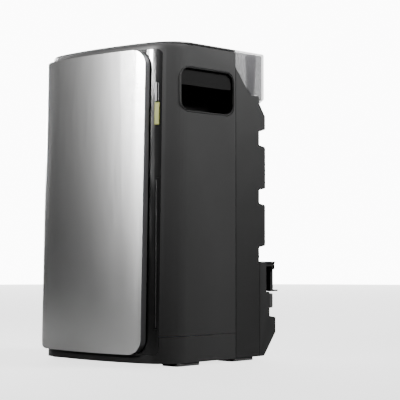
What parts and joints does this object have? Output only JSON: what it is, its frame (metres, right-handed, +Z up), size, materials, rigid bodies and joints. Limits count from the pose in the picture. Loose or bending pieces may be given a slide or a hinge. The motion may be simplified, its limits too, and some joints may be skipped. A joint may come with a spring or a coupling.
{
  "type": "portable power station",
  "caption": "Upright battery and inverter housing with a bowed brushed front panel, side handle pockets, a finned rear, a rain hood and flap-covered outlets.",
  "frame": {"origin": "middle of the whole object's footprint, on the surface that the feet stand on", "axes": "+Z up, the brushed panel faces -Y, the connectors face +Y, +X is to the right seen from the front"},
  "size_m": [0.2674, 0.281, 0.46],
  "materials": {
    "shell": "fine dark powder coat",
    "panel_steel": "vertical brushing",
    "gloss_black": "polished",
    "matt_black": "fine texture",
    "guard": "fine texture",
    "smoked_clear": "smoked translucent plastic",
    "olive": "satin",
    "rubber": "matt",
    "sink": "black anodised",
    "cell": "sleeved",
    "board": "solder mask",
    "copper": "bare",
    "bracket": "matt",
    "tray": "moulded",
    "steel_fastener": "blackened",
    "core": "varnished"
  },
  "bodies": {
    "housing": {"main_shell": "shell", "top_cap": "shell", "base_tray": "shell", "front_panel": "panel_steel", "front_trim": "gloss_black", "light_bar": "gloss_black", "handle_cup_left": "matt_black", "handle_cup_right": "matt_black", "handle_grip_left": "matt_black", "handle_grip_right": "matt_black", "outlet_socket_right": "matt_black", "outlet_socket_middle": "matt_black", "grid_inlet": "matt_black", "terminal_cover": "matt_black", "pv_connector_1": "matt_black", "pv_connector_2": "matt_black", "pv_connector_3": "matt_black", "pv_connector_4": "matt_black", "rear_guard_left": "guard", "rear_guard_right": "guard", "hood_shelf": "guard", "connector_shelf": "guard", "connector_box": "guard", "rain_hood": "smoked_clear", "status_window": "gloss_black", "top_seal": "rubber", "foot_front_left": "rubber", "foot_front_right": "rubber", "foot_rear_left": "rubber", "foot_rear_right": "rubber", "heat_sink": "sink", "battery_cell_1": "cell", "battery_cell_2": "cell", "battery_cell_3": "cell", "battery_cell_4": "cell", "battery_cell_5": "cell", "battery_cell_6": "cell", "control_board": "board", "battery_board": "board", "inverter_board": "board", "main_busbar": "copper", "filter_choke": "copper", "panel_bracket_upper": "bracket", "panel_bracket_lower": "bracket", "rear_cover": "bracket", "battery_tray": "tray", "cell_spacer": "tray", "battery_clamp": "tray", "button_switch": "tray", "capacitor_1": "tray", "capacitor_2": "tray", "hood_screw_left": "steel_fastener", "hood_screw_right": "steel_fastener", "flap_pin_right": "steel_fastener", "flap_pin_middle": "steel_fastener", "transformer": "core"},
    "button": {"power_button": "olive"},
    "flap_right": {"outlet_flap_right": "guard"},
    "flap_middle": {"outlet_flap_middle": "guard"},
    "inlet_cap": {"grid_inlet_cap": "rubber"}
  },
  "joints": [
    {"name": "power_button_press", "type": "slide", "parent": "housing", "child": "button", "axis": [-0.5415, 0.8407, 0], "range_m": [0, 0.0015], "stiffness_N_per_m": 400, "springref_m": -0.001},
    {"name": "flap_right_hinge", "type": "hinge", "parent": "housing", "child": "flap_right", "pos_m": [0.09925, 0.12566, 0.1375], "axis": [1, 0, 0], "range_deg": [0, 110]},
    {"name": "flap_middle_hinge", "type": "hinge", "parent": "housing", "child": "flap_middle", "pos_m": [0.03655, 0.12566, 0.1375], "axis": [1, 0, 0], "range_deg": [0, 110]},
    {"name": "inlet_cap_pull", "type": "slide", "parent": "housing", "child": "inlet_cap", "axis": [0, 1, 0], "range_m": [0, 0.03]}
  ]
}
